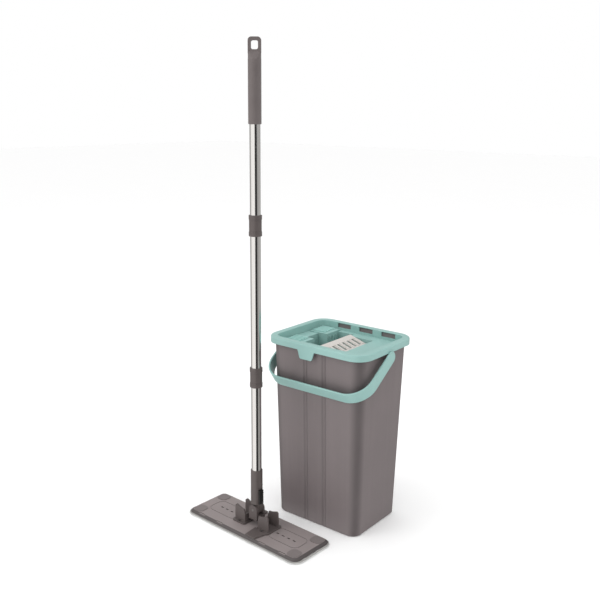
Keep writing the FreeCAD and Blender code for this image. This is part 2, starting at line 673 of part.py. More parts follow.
def make_slot_chute():
    """The guide under the slot: it steers the plate down and scrubs the pad on its ribs."""
    body = new_body("slot_chute")
    top = tray_top - tray_thick
    make_guide(body, "outer", top, chute_wall, slot_right)
    grow(body, doc.getObject("slot_chute_outer"), top - chute_low, back=True)
    make_guide(body, "inner", top, 0.0, slot_right - chute_wall)
    cut(body, doc.getObject("slot_chute_inner"), top - chute_low + OVER)
    for index in range(11):
        y = slot_front + 11.0 + chute_rib_pitch * index
        if notch_front.value - 6 < y.value < notch_back.value + 6:
            continue
        rib = sketch_on(body, f"rib_{index}", offset=top)
        outline(rib, [
            (slot_left - chute_wall / 2, y - chute_rib_wide / 2), (slot_left + chute_rib, y - 0.9),
            (slot_left + chute_rib, y + 0.9), (slot_left - chute_wall / 2, y + chute_rib_wide / 2),
        ])
        grow(body, rib, top - chute_low - 4, back=True)
    lowered = sketch_on(body, "lowered", "YZ_Plane", slot_right - chute_wall - OVER)
    rectangle(lowered, slot_front - chute_wall - OVER, slot_back + chute_wall + OVER, chute_right_top, top + OVER)
    cut(body, lowered, chute_wall + OVER * 2, back=True)
    return body


def make_guide(body, name, level, wall, right):
    """The outline of the slot with its notch, grown outwards by a wall on all sides but the right."""
    sketch = sketch_on(body, name, offset=level)
    left, far = slot_left - wall, notch_left - wall
    front, back = slot_front - wall, slot_back + wall
    notch_low, notch_high = notch_front - wall, notch_back + wall
    outline(sketch, [
        (left, front), (right, front), (right, back), (left, back),
        (left, notch_high), (far, notch_high), (far, notch_low), (left, notch_low),
    ])


# ---------------------------------------------------------------- comb

def make_wringer_comb():
    """Built flat, hinge axis on Y at its own origin and the lip towards -X, then tilted."""
    body = new_body("wringer_comb")
    middle = (comb_front + comb_back) / 2
    length = comb_back - comb_front
    sheet_face = sketch_on(body, "sheet", offset=comb_thick / 2)
    rounded(sheet_face, comb_long, length, 2.5, -comb_long / 2, middle)
    grow(body, sheet_face, comb_thick, back=True)
    for index in range(6):
        slot = sketch_on(body, f"slot_{index}", offset=comb_thick / 2)
        y = comb_first + comb_pitch * index
        slot_long = comb_long - comb_band - comb_foot
        rounded(slot, slot_long, comb_slot, 2.0, -comb_foot - slot_long / 2, y)
        cut(body, slot, comb_thick)
    for index in range(7):
        spine = sketch_on(body, f"spine_{index}", offset=comb_thick / 2 + 1.2)
        y = comb_first + comb_pitch * (index - 0.5)
        spine_long = comb_long - comb_band - comb_foot + 3
        rounded(spine, spine_long, 5.0, 2.4, -comb_foot - spine_long / 2 + 1.5, y)
        grow(body, spine, 1.2 + HAIR, back=True)
    lip = sketch_on(body, "lip", "XZ_Plane", -comb_front)
    outline(lip, [
        (-comb_long, -comb_thick / 2), (-comb_long + 3, -comb_thick / 2 - 1.4),
        (-comb_long + 6, -comb_thick / 2 - 1.4), (-comb_long + 8, -comb_thick / 2 + HAIR),
        (-comb_long, -comb_thick / 2 + HAIR),
    ])
    grow(body, lip, length - 16, back=True)
    barrel = sketch_on(body, "barrel", "XZ_Plane", -comb_front)
    circle(barrel, comb_barrel_r)
    grow(body, barrel, length, back=True)
    bore = sketch_on(body, "bore", "XZ_Plane", -comb_front + OVER)
    circle(bore, comb_pin_r + comb_play)
    cut(body, bore, length + OVER * 2)
    tilt = FreeCAD.Rotation(FreeCAD.Vector(0, 1, 0), comb_slope.value)
    body.Placement = FreeCAD.Placement(FreeCAD.Vector(comb_x.value, 0, comb_z.value), tilt)
    move(body, comb_x, 0.0, comb_z)
    body.setExpression("Placement.Rotation.Angle", comb_slope.text)
    return body


def make_comb_pin():
    long = pit_back - pit_front + (lug_thick + OVER) * 2
    pin = part("Part::Cylinder", "comb_pin", turned((1, 0, 0), 90), Radius=comb_pin_r, Height=long)
    move(pin, comb_x, pit_back + lug_thick + OVER, comb_z)
    return pin


# ---------------------------------------------------------------- bail

def make_bail_handle():
    """Built level, pivot axis on X at its own origin and the hand bar towards -Y, then lowered."""
    body = new_body("bail_handle")
    strap = sketch_on(body, "strap", offset=0.0)
    inner = bail_thick / 2
    bail_line(strap, bail_half + inner, bail_reach + inner, bail_bend + inner,
              bail_half - inner, bail_reach - inner, bail_bend - inner)
    grow(body, strap, bail_wide, both=True)
    for name, side in (("left", -1), ("right", 1)):
        face = (bail_half - bail_thick / 2) * side
        eye = sketch_on(body, f"eye_{name}", "YZ_Plane", face)
        circle(eye, bail_wide / 2)
        grow(body, eye, bail_thick, back=side < 0)
        stud = sketch_on(body, f"stud_{name}", "YZ_Plane", face)
        circle(stud, bail_stud_r)
        grow(body, stud, bail_stud_long, back=side > 0)
    half = bail_wide.value / 2
    soften(body, 1.4, lambda edge: abs(abs(edge.BoundBox.ZMin) - half) < 1e-3
           and abs(edge.BoundBox.ZMin - edge.BoundBox.ZMax) < 1e-3 and edge.BoundBox.YMin < -1.0)
    droop = FreeCAD.Rotation(FreeCAD.Vector(1, 0, 0), bail_droop.value)
    body.Placement = FreeCAD.Placement(FreeCAD.Vector(0, 0, bail_z.value), droop)
    move(body, 0.0, 0.0, bail_z)
    body.setExpression("Placement.Rotation.Angle", bail_droop.text)
    return body


def bail_line(sketch, out_x, out_y, out_r, in_x, in_y, in_r):
    """The closed outline of the strap seen from above: a U between two round-cornered lines."""
    sizes = [[number(size) for size in row] for row in ((out_x, out_y, out_r), (in_x, in_y, in_r))]
    first = []
    for x, y, r in sizes:
        left = Part.ArcOfCircle(Part.Circle(FreeCAD.Vector(-x + r, -y + r, 0), FreeCAD.Vector(0, 0, 1), r),
                                math.pi, 1.5 * math.pi)
        right = Part.ArcOfCircle(Part.Circle(FreeCAD.Vector(x - r, -y + r, 0), FreeCAD.Vector(0, 0, 1), r),
                                 1.5 * math.pi, 2 * math.pi)
        start = sketch.GeometryCount
        first.append(start)
        sketch.addGeometry(Part.LineSegment(FreeCAD.Vector(-x, 0, 0), left.StartPoint), False)
        sketch.addGeometry(left, False)
        sketch.addGeometry(Part.LineSegment(left.EndPoint, right.StartPoint), False)
        sketch.addGeometry(right, False)
        sketch.addGeometry(Part.LineSegment(right.EndPoint, FreeCAD.Vector(x, 0, 0)), False)
        for step in range(4):
            sketch.addConstraint(Sketcher.Constraint("Tangent", start + step, 2, start + step + 1, 1))
        sketch.addConstraint(Sketcher.Constraint("Vertical", start))
        sketch.addConstraint(Sketcher.Constraint("Horizontal", start + 2))
        sketch.addConstraint(Sketcher.Constraint("Vertical", start + 4))
        sketch.addConstraint(Sketcher.Constraint("Equal", start + 1, start + 3))
    for start, (x, y, r) in zip(first, ((out_x, out_y, out_r), (in_x, in_y, in_r))):
        made = sketch.addConstraint(Sketcher.Constraint("Radius", start + 1, number(r)))
        sketch.setExpression(f"Constraints[{made}]", text_of(r))
        fix_point(sketch, start, 1, -x, 0.0)
        fix_point(sketch, start + 4, 2, x, 0.0)
        made = sketch.addConstraint(Sketcher.Constraint("DistanceY", -1, 1, start + 2, 1, -number(y)))
        sketch.setExpression(f"Constraints[{made}]", text_of(-y))
    for place, line in ((1, 0), (2, 4)):
        outer, inner = first[0] + line, first[1] + line
        sketch.addGeometry(Part.LineSegment(
            FreeCAD.Vector((-1 if place == 1 else 1) * sizes[0][0], 0, 0),
            FreeCAD.Vector((-1 if place == 1 else 1) * sizes[1][0], 0, 0)), False)
        cap = sketch.GeometryCount - 1
        sketch.addConstraint(Sketcher.Constraint("Coincident", cap, 1, outer, place))
        sketch.addConstraint(Sketcher.Constraint("Coincident", cap, 2, inner, place))


# ---------------------------------------------------------------- mop head

def make_mop_pad():
    body = new_body("mop_pad")
    face = sketch_on(body, "face", offset=pad_thick)
    rounded(face, pad_long, pad_wide, pad_corner)
    grow(body, face, pad_thick, back=True)
    soften(body, 1.8, lambda edge: at_height(edge, 0) or at_height(edge, pad_thick.value))
    stand_with_mop(body)
    return body


def make_velcro_strips():
    strips = []
    for name, side in (("front", -1), ("back", 1)):
        strip = part("Part::Box", f"hook_strip_{name}",
                     Length=velcro_long, Width=velcro_wide, Height=velcro_thick)
        move(strip, -velcro_long / 2, velcro_y * side - velcro_wide / 2, pad_thick)
        strips.append(strip)
    pair = joined("hook_strips", "Part::MultiFuse", *strips)
    stand_with_mop(pair)
    return pair


def make_plate_sole():
    body = new_body("plate_sole")
    low = pad_thick + velcro_thick
    face = sketch_on(body, "face", offset=low)
    inset = plate_skin * 2 + 4
    rounded(face, plate_long - inset, plate_wide - inset, plate_corner - plate_skin)
    grow(body, face, sole_thick)
    stand_with_mop(body)
    return body


def make_mop_plate():
    """A hollow plate with sloping sides, engraved outlines, drain slots and edge recesses."""
    body = new_body("mop_plate")
    base = pad_thick + velcro_thick
    low = sketch_on(body, "low", offset=base)
    rounded(low, plate_long, plate_wide, plate_corner)
    high = sketch_on(body, "high", offset=plate_top - plate_bevel)
    rounded(high, plate_long_top, plate_wide_top, plate_corner - 3)
    loft(body, "PartDesign::AdditiveLoft", low, high)
    brow = sketch_on(body, "brow", offset=plate_top - plate_bevel)
    rounded(brow, plate_long_top, plate_wide_top, plate_corner - 3)
    crown = sketch_on(body, "crown", offset=plate_top)
    rounded(crown, plate_long_top - plate_bevel * 3, plate_wide_top - plate_bevel * 3, plate_corner - 5)
    loft(body, "PartDesign::AdditiveLoft", brow, crown)
    hollow_low = sketch_on(body, "hollow_low", offset=base)
    skin = plate_skin * 2
    rounded(hollow_low, plate_long - skin, plate_wide - skin, plate_corner - plate_skin)
    hollow_high = sketch_on(body, "hollow_high", offset=plate_top - plate_skin)
    rounded(hollow_high, plate_long_top - skin, plate_wide_top - skin, plate_corner - plate_skin - 3)
    loft(body, "PartDesign::SubtractiveLoft", hollow_low, hollow_high)
    rib_low = base + sole_thick
    for index in range(7):
        rib = sketch_on(body, f"rib_{index}", offset=rib_low)
        x = -132.0 + 44.0 * index
        rectangle(rib, x - 1.0, x + 1.0, -plate_wide_top / 2 + 1, plate_wide_top / 2 - 1)
        grow(body, rib, plate_top - plate_skin - rib_low + 0.5)

    for name, side in (("left", -1), ("right", 1)):
        ring = sketch_on(body, f"panel_{name}", offset=plate_top)
        middle = (panel_near + panel_far) / 2 * side
        long = panel_far - panel_near
        rounded(ring, long, panel_half * 2, 16, middle)
        rounded(ring, long - panel_line * 2, panel_half * 2 - panel_line * 2, 14.8, middle)
        cut(body, ring, panel_deep)
        for index in range(4):
            drain = sketch_on(body, f"drain_{name}_{index}", offset=plate_top)
            x = (drain_first + drain_pitch * index) * side
            rounded(drain, drain_long, drain_wide, 1.4, x)
            cut(body, drain, plate_skin + OVER)
        for row, across in (("front", -1), ("back", 1)):
            for index, x in enumerate((66.0, 124.0)):
                tab = sketch_on(body, f"tab_{name}_{row}_{index}", offset=plate_top)
                y = plate_wide_top / 2 * across
                rounded(tab, tab_long, tab_wide * 2, 1.6, x * side, y)
                cut(body, tab, tab_deep)
    stand_with_mop(body)
    return body


def make_corner_bumpers():
    """Four soft caps over the plate's top corners."""
    caps = []
    for index, (side, across) in enumerate(((-1, -1), (1, -1), (-1, 1), (1, 1))):
        cap = part("Part::Box", f"bumper_{index}", Length=bumper_reach, Width=bumper_reach, Height=bumper_thick)
        x_edge = plate_long_top / 2 - 3.5
        y_edge = plate_wide_top / 2 - 3.5
        move(cap, x_edge * side - (bumper_reach if side > 0 else 0.0),
             y_edge * across - (bumper_reach if across > 0 else 0.0), plate_top)
        doc.recompute()
        rounding = doc.addObject("Part::Fillet", f"bumper_{index}_round")
        rounding.Base = cap
        upright = [i + 1 for i, edge in enumerate(cap.Shape.Edges) if edge.BoundBox.ZLength > 0.5]
        rounding.Edges = [(i, 10.0, 10.0) for i in upright]
        caps.append(rounding)
    group = joined("corner_bumpers", "Part::MultiFuse", *caps)
    stand_with_mop(group)
    return group


# ---------------------------------------------------------------- hinges

def make_bracket(label, side):
    """One end of the saddle: flange, end wall with the pin hole, two side walls and a foot.
    The left bracket is the right one turned half round, so its foot runs to the back edge."""
    body = new_body(label)
    low = plate_top
    walls = sketch_on(body, "walls", "XZ_Plane")
    outline(walls, [
        (cradle_in * side, low), (cradle_out * side, low), ((cradle_out + 1) * side, low + 14),
        (cradle_out * side, cradle_top - 3), ((cradle_out - 4) * side, cradle_top),
        ((cradle_in + 12) * side, cradle_top - 5), ((cradle_in + 3) * side, cradle_top - 6),
        (cradle_in * side, end_wall_top),
    ])
    grow(body, walls, cradle_half * 2, both=True)
    channel = sketch_on(body, "channel", "XZ_Plane")
    rectangle(channel, *ordered(cradle_in - OVER, cradle_out + OVER * 2, side), end_wall_top, cradle_top + OVER)
    cut(body, channel, cradle_gap, both=True)
    hollow = sketch_on(body, "hollow", "XZ_Plane")
    rectangle(hollow, *ordered(cradle_in + cradle_wall, cradle_out + OVER * 2, side),
              low + cradle_floor, end_wall_top + OVER)
    cut(body, hollow, cradle_gap, both=True)
    flange = sketch_on(body, "flange", offset=low)
    rounded(flange, cradle_out - cradle_in + 8, cradle_half * 2 + 16, 6.0, (cradle_in + cradle_out) / 2 * side)
    grow(body, flange, cradle_floor)
    foot = sketch_on(body, "foot", offset=low)
    near, far = -cradle_half * side, -foot_half * side
    outline(foot, [
        ((cradle_in - 8) * side, near), ((cradle_out + 2) * side, near),
        ((cradle_out - 6) * side, far), ((cradle_in - 4) * side, far),
    ])
    grow(body, foot, cradle_floor)
    bore = sketch_on(body, "bore", "YZ_Plane", (cradle_in - OVER) * side)
    circle(bore, hinge_pin_r + seat_play, 0.0, tilt_z)
    cut(body, bore, cradle_wall + OVER * 2, back=side > 0)
    for index, across in enumerate((-1, 1)):
        hole = sketch_on(body, f"screw_hole_{index}", offset=low + cradle_floor)
        circle(hole, screw_r + seat_play, (cradle_in + cradle_out) / 2 * side, (cradle_half + 4) * across)
        cut(body, hole, cradle_floor)
    stand_with_mop(body)
    return body


def ordered(low, high, side):
    """The two ends of a span that is mirrored when side is -1, lower end first."""
    return (low, high) if side > 0 else (-high, -low)


def make_bracket_screws():
    screws = []
    for side in (-1, 1):
        for across in (-1, 1):
            name = f"screw_{len(screws)}"
            x = (cradle_in + cradle_out) / 2 * side
            y = (cradle_half + 4) * across
            head = part("Part::Cylinder", f"{name}_head", Radius=screw_head_r, Height=screw_head_tall)
            move(head, x, y, plate_top + cradle_floor)
            shank = part("Part::Cylinder", f"{name}_shank", Radius=screw_r, Height=cradle_floor)
            move(shank, x, y, plate_top)
            screws.append(joined(name, "Part::MultiFuse", head, shank))
    group = joined("bracket_screws", "Part::MultiFuse", *screws)
    stand_with_mop(group)
    return group


def make_tilt_pin():
    half = cradle_in + cradle_wall + 1.5
    pin = part("Part::Cylinder", "tilt_pin_bar", turned((0, 1, 0), 90), Radius=hinge_pin_r, Height=half * 2)
    move(pin, -half, 0.0, tilt_z)
    whole = joined("tilt_pin", "Part::MultiFuse", pin, pin_heads("tilt_pin", half))
    stand_with_mop(whole)
    return whole


def pin_heads(name, half):
    heads = []
    for side in (-1, 1):
        head = part("Part::Cylinder", f"{name}_head_{side + 1}", turned((0, 1, 0), 90),
                    Radius=hinge_pin_r + 1.5, Height=1.5)
        move(head, half * side - (0.0 if side < 0 else 1.5), 0.0, tilt_z)
        heads.append(head)
    return joined(f"{name}_heads", "Part::MultiFuse", *heads)


def make_yoke():
    """A hub that turns on the long pin, with a fork on top for the short pin."""
    body = new_body("yoke")
    block = sketch_on(body, "block", "XZ_Plane")
    rectangle(block, -yoke_half, yoke_half, tilt_z, fold_z)
    grow(body, block, yoke_depth, both=True)
    crown = sketch_on(body, "crown", "XZ_Plane")
    circle(crown, yoke_half, 0.0, fold_z)
    grow(body, crown, yoke_depth, both=True)
    hub = sketch_on(body, "hub", "YZ_Plane")
    circle(hub, yoke_hub_r, 0.0, tilt_z)
    grow(body, hub, yoke_hub_long, both=True)
    fork = sketch_on(body, "fork", "XZ_Plane")
    room = yoke_half + 1
    rectangle(fork, -room, room, fold_z - yoke_half - 0.5, fold_z + room)
    cut(body, fork, tongue_gap, both=True)
    long_bore = sketch_on(body, "long_bore", "YZ_Plane")
    circle(long_bore, hinge_pin_r + hinge_play, 0.0, tilt_z)
    cut(body, long_bore, yoke_hub_long + OVER, both=True)
    short_bore = sketch_on(body, "short_bore", "XZ_Plane")
    circle(short_bore, hinge_pin_r + seat_play, 0.0, fold_z)
    cut(body, short_bore, yoke_depth + OVER, both=True)
    stand_with_mop(body)
    return body


def make_fold_pin():
    pin = part("Part::Cylinder", "fold_pin", turned((1, 0, 0), 90), Radius=hinge_pin_r, Height=yoke_depth)
    holder = joined("fold_pin_axis", "Part::MultiFuse", pin, fold_pin_core())
    pin.Label = "fold_pin_bar"
    holder.Label = "fold_pin"
    move(pin, 0.0, yoke_depth / 2, fold_z)
    stand_with_mop(holder)
    return holder


def fold_pin_core():
    """The pin's slightly smaller end tips, which carry the peened edge."""
    core = part("Part::Cylinder", "fold_pin_tips", turned((1, 0, 0), 90),
                Radius=hinge_pin_r - 0.6, Height=yoke_depth + 0.8)
    move(core, 0.0, yoke_depth / 2 + 0.4, fold_z)
    return core


# ---------------------------------------------------------------- handle

def make_handle_socket():
    body = new_body("handle_socket")
    low = sketch_on(body, "barrel", offset=socket_low)
    circle(low, socket_r)
    grow(body, low, socket_top - socket_low)
    soften(body, 1.2, lambda edge: at_height(edge, socket_top.value) or at_height(edge, socket_low.value))
    tongue = sketch_on(body, "tongue", "XZ_Plane")
    rectangle(tongue, -yoke_half + 0.5, yoke_half - 0.5, fold_z, socket_low + 2.5)
    grow(body, tongue, tongue_thick, both=True)
    nose = sketch_on(body, "nose", "XZ_Plane")
    circle(nose, yoke_half - 0.5, 0.0, fold_z)
    grow(body, nose, tongue_thick, both=True)
    eye = sketch_on(body, "eye", "XZ_Plane")
    circle(eye, hinge_pin_r + hinge_play, 0.0, fold_z)
    cut(body, eye, tongue_thick + OVER, both=True)
    bore = sketch_on(body, "bore", offset=socket_top)
    circle(bore, tube_r + seat_play)
    cut(body, bore, socket_top - tube_low)
    track = sketch_on(body, "track", "YZ_Plane", socket_r + OVER)
    half = catch_wide / 2 + HAIR
    rectangle(track, -half, half, catch_low - HAIR, catch_low + catch_tall + catch_travel + HAIR)
    cut(body, track, catch_deep + OVER)
    stand_with_mop(body)
    return body


def make_lock_catch():
    """The thumb slide on the socket that holds the handle upright when it is pushed down."""
    body = new_body("lock_catch")
    face = sketch_on(body, "face", "YZ_Plane", socket_r - catch_deep + HAIR)
    rectangle(face, -catch_wide / 2, catch_wide / 2, catch_low, catch_low + catch_tall)
    grow(body, face, catch_deep - HAIR + catch_proud)
    for index in range(6):
        groove = sketch_on(body, f"groove_{index}", "YZ_Plane", socket_r + catch_proud)
        z = catch_low + 5.0 + catch_tall / 7 * index
        rectangle(groove, -catch_wide / 2 - OVER, catch_wide / 2 + OVER, z - 1.0, z + 1.0)
        cut(body, groove, 0.9)
    stand_with_mop(body)
    return body


def make_tube(label, low, high):
    outer = part("Part::Cylinder", f"{label}_outside", Radius=tube_r, Height=high - low)
    move(outer, 0.0, 0.0, low)
    inner = part("Part::Cylinder", f"{label}_inside", Radius=tube_r - tube_wall, Height=high - low + OVER * 2)
    move(inner, 0.0, 0.0, low - OVER)
    tube = joined(label, "Part::Cut", outer, inner)
    stand_with_mop(tube)
    return tube


def make_sleeve(label, split):
    """The moulded sleeve over a joint, with a raised ring at each end."""
    body = new_body(label)
    low = split - sleeve_tall / 2
    core = sketch_on(body, "core", offset=low)
    circle(core, sleeve_r - 0.7)
    grow(body, core, sleeve_tall)
    for name, level in (("low", low), ("high", low + sleeve_tall - 9)):
        ring = sketch_on(body, f"ring_{name}", offset=level)
        circle(ring, sleeve_r)
        grow(body, ring, 9.0)
    soften(body, 1.0, lambda edge: at_height(edge, low.value) or at_height(edge, (low + sleeve_tall).value))
    bore = sketch_on(body, "bore", offset=low + sleeve_tall + OVER)
    circle(bore, tube_r + seat_play)
    cut(body, bore, sleeve_tall + OVER * 2)
    stand_with_mop(body)
    return body


def make_coupler(label, split):
    """The threaded plug inside a joint that screws the two tubes together."""
    outer = part("Part::Cylinder", f"{label}_outside", Radius=tube_r - tube_wall - seat_play, Height=coupler_tall)
    move(outer, 0.0, 0.0, split - coupler_tall / 2)
    inner = part("Part::Cylinder", f"{label}_inside", Radius=coupler_bore, Height=coupler_tall + OVER * 2)
    move(inner, 0.0, 0.0, split - coupler_tall / 2 - OVER)
    coupler = joined(label, "Part::Cut", outer, inner)
    stand_with_mop(coupler)
    return coupler


def make_grip():
    """A round sleeve that flattens into a hanging tab with a hole."""
    body = new_body("grip")
    core = sketch_on(body, "core", offset=grip_low)
    circle(core, grip_r)
    grow(body, core, grip_round - grip_low)
    soften(body, 1.5, lambda edge: at_height(edge, grip_low.value))
    low = sketch_on(body, "neck_low", offset=grip_round)
    rounded(low, grip_r * 2 - 0.4, grip_r * 2 - 0.4, grip_r - 0.4)
    high = sketch_on(body, "neck_high", offset=grip_round + 14)
    rounded(high, grip_r * 2 - 0.4, grip_tab, 3.2)
    loft(body, "PartDesign::AdditiveLoft", low, high)
    tab = sketch_on(body, "tab", "XZ_Plane")
    tab_low = grip_round + 5
    rounded(tab, grip_r * 2 - 0.4, grip_top - tab_low, 7.0, 0.0, (grip_top + tab_low) / 2)
    grow(body, tab, grip_tab, both=True)
    hole = sketch_on(body, "hole", "XZ_Plane")
    rounded(hole, hang_wide, hang_tall, 4.0, 0.0, hang_z)
    cut(body, hole, grip_tab * 4, both=True)
    bore = sketch_on(body, "bore", offset=grip_low)
    circle(bore, tube_r + seat_play)
    cut(body, bore, tube_top - grip_low, back=True)
    stand_with_mop(body)
    body.setExpression("Placement.Rotation.Angle", (mop_turn + grip_turn).text)
    return body


# ---------------------------------------------------------------- build, check and write

parts = [
    make_bucket_body(),
    make_collar(),
    make_wringer_tray(),
    make_slot_chute(),
    make_wringer_comb(),
    make_comb_pin(),
    make_bail_handle(),
    make_mop_pad(),
    make_velcro_strips(),
    make_plate_sole(),
    make_mop_plate(),
    make_corner_bumpers(),
    make_bracket("left_bracket", -1),
    make_bracket("right_bracket", 1),
    make_bracket_screws(),
    make_tilt_pin(),
    make_yoke(),
    make_fold_pin(),
    make_handle_socket(),
    make_lock_catch(),
    make_tube("lower_tube", tube_low, lower_split),
    make_tube("middle_tube", lower_split, upper_split),
    make_tube("upper_tube", upper_split, tube_top),
    make_sleeve("lower_sleeve", lower_split),
    make_sleeve("upper_sleeve", upper_split),
    make_coupler("lower_coupler", lower_split),
    make_coupler("upper_coupler", upper_split),
    make_grip(),
]

doc.recompute()

for item in doc.Objects:
    for word in ("Invalid", "Error"):
        if word in item.State:
            raise RuntimeError(f"{item.Name} is {word}")
for item in parts:
    if item.Shape.isNull() or not item.Shape.isValid():
        raise RuntimeError(f"{item.Label} has no valid shape")

os.makedirs("parts", exist_ok=True)
for item in parts:
    item.Shape.exportStep(f"parts/{item.Label}.step")
    print(item.Label, len(item.Shape.Solids), round(item.Shape.Volume / 1000, 2), "cm3")
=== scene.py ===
import json
import math
import random

import bmesh
import bpy
from mathutils import Matrix, Vector, noise


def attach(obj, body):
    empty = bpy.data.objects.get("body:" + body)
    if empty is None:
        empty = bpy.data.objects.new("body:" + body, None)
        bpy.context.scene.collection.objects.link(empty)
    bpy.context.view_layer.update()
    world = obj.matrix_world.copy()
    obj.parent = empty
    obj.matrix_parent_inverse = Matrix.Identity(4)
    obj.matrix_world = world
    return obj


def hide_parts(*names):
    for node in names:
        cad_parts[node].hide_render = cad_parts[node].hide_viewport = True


# Looks for the mop and bucket. Metres, +Z up, the same frame as the CAD model.

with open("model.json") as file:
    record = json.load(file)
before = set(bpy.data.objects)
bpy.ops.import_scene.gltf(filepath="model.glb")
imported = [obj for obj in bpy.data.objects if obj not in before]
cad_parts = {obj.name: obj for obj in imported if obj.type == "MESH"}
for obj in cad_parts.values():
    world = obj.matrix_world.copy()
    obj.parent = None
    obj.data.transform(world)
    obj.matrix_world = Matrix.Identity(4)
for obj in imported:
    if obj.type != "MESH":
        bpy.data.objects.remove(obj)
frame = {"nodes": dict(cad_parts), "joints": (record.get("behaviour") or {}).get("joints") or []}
nodes = frame["nodes"]
joints = {joint["name"]: joint for joint in frame["joints"]}
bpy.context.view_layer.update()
random.seed(11)


# ---------------------------------------------------------------- camera, light and floor

CAMERA_PLACE = (0.9913, -1.4007, 0.9175)
CAMERA_ANGLES = (0.6683, 0.2361, 0.0081)
CAMERA_LENS = 48.0
EVEN_LIGHT = 1.05
SEEN_WHITE = 1.0

# What the steel tubes reflect: compass angle in degrees from the camera's side, and brightness
STUDIO_BAND = [
    (-180, 0.40), (-95, 0.42), (-62, 0.55), (-48, 1.10), (22, 1.15), (32, 1.0), (37, 0.03), (78, 0.028),
    (84, 0.40), (118, 0.46), (128, 0.60), (180, 0.42),
]

# Area lights: name, place, the point it faces, width in metres and watts
LIGHTS = [
    ("key_left", (-1.5, -2.4, 2.2), (0, -0.05, 0.3), 1.8, 20),
    ("side_right", (2.6, 0.1, 1.6), (0, 0, 0.3), 1.6, 3),
    ("top", (0.1, 0.1, 3.0), (0, 0, 0), 2.2, 12),
]


def make_camera():
    """A normal lens, a little above the bucket, from the front right."""
    yaw, pitch, roll = CAMERA_ANGLES
    back = Vector((math.sin(yaw) * math.cos(pitch), -math.cos(yaw) * math.cos(pitch), math.sin(pitch)))
    right = (-back).cross(Vector((0, 0, 1))).normalized()
    up = back.cross(right)
    level_right = right * math.cos(roll) + up * math.sin(roll)
    level_up = up * math.cos(roll) - right * math.sin(roll)
    data = bpy.data.cameras.new("camera")
    data.lens = CAMERA_LENS
    data.sensor_width = 36.0
    camera = bpy.data.objects.new("camera", data)
    turn = Matrix((level_right, level_up, back)).transposed().to_4x4()
    camera.matrix_world = Matrix.Translation(Vector(CAMERA_PLACE)) @ turn
    bpy.context.scene.collection.objects.link(camera)
    bpy.context.scene.camera = camera


def area_light(name, place, target, size, power):
    data = bpy.data.lights.new(name, "AREA")
    data.shape = "RECTANGLE"
    data.size = size
    data.size_y = size
    data.energy = power
    light = bpy.data.objects.new(name, data)
    light.location = place
    light.rotation_mode = "QUATERNION"
    light.rotation_quaternion = (Vector(target) - Vector(place)).to_track_quat("-Z", "Y")
    bpy.context.scene.collection.objects.link(light)


def make_world():
    """A white studio with one dark flag to the right of the camera, which only shows in the steel tubes."""
    world = bpy.data.worlds.new("studio")
    bpy.context.scene.world = world
    world.use_nodes = True
    tree = world.node_tree
    tree.nodes.clear()
    add = tree.nodes.new
    where = add("ShaderNodeTexCoord")
    split = add("ShaderNodeSeparateXYZ")
    tree.links.new(where.outputs["Generated"], split.inputs[0])
    flip = add("ShaderNodeMath")
    flip.operation = "MULTIPLY"
    flip.inputs[1].default_value = -1
    tree.links.new(split.outputs["Y"], flip.inputs[0])
    angle = add("ShaderNodeMath")
    angle.operation = "ARCTAN2"
    tree.links.new(split.outputs["X"], angle.inputs[0])
    tree.links.new(flip.outputs[0], angle.inputs[1])
    spread = add("ShaderNodeMapRange")
    spread.inputs["From Min"].default_value = -math.pi
    spread.inputs["From Max"].default_value = math.pi
    tree.links.new(angle.outputs[0], spread.inputs["Value"])
    ramp = add("ShaderNodeValToRGB")
    tree.links.new(spread.outputs[0], ramp.inputs[0])
    ramp.color_ramp.elements.remove(ramp.color_ramp.elements[1])
    for index, (degrees, level) in enumerate(STUDIO_BAND):
        place = (degrees + 180) / 360
        stop = ramp.color_ramp.elements[0] if index == 0 else ramp.color_ramp.elements.new(place)
        stop.position = place
        stop.color = (level, level * 0.975, level * 0.955, 1)
    even = add("ShaderNodeBackground")
    even.inputs["Color"].default_value = (1.0, 1.0, 1.0, 1)
    even.inputs["Strength"].default_value = EVEN_LIGHT
    mirrored = add("ShaderNodeBackground")
    tree.links.new(ramp.outputs["Color"], mirrored.inputs["Color"])
    white = add("ShaderNodeBackground")
    white.inputs["Strength"].default_value = SEEN_WHITE
    white.inputs["Color"].default_value = (1, 1, 1, 1)
    path = add("ShaderNodeLightPath")
    glossy = add("ShaderNodeMixShader")
    tree.links.new(path.outputs["Is Glossy Ray"], glossy.inputs[0])
    tree.links.new(even.outputs[0], glossy.inputs[1])
    tree.links.new(mirrored.outputs[0], glossy.inputs[2])
    seen = add("ShaderNodeMixShader")
    tree.links.new(path.outputs["Is Camera Ray"], seen.inputs[0])
    tree.links.new(glossy.outputs[0], seen.inputs[1])
    tree.links.new(white.outputs[0], seen.inputs[2])
    out = add("ShaderNodeOutputWorld")
    tree.links.new(seen.outputs[0], out.inputs["Surface"])


def make_floor():
    bpy.ops.mesh.primitive_plane_add(size=30, location=(0, 0, -0.0003))
    floor = bpy.context.object
    floor.name = "floor"
    floor.data.materials.append(paint("floor_white", (0.97, 0.97, 0.97), 0.95))
    floor.visible_glossy = False


# ---------------------------------------------------------------- materials

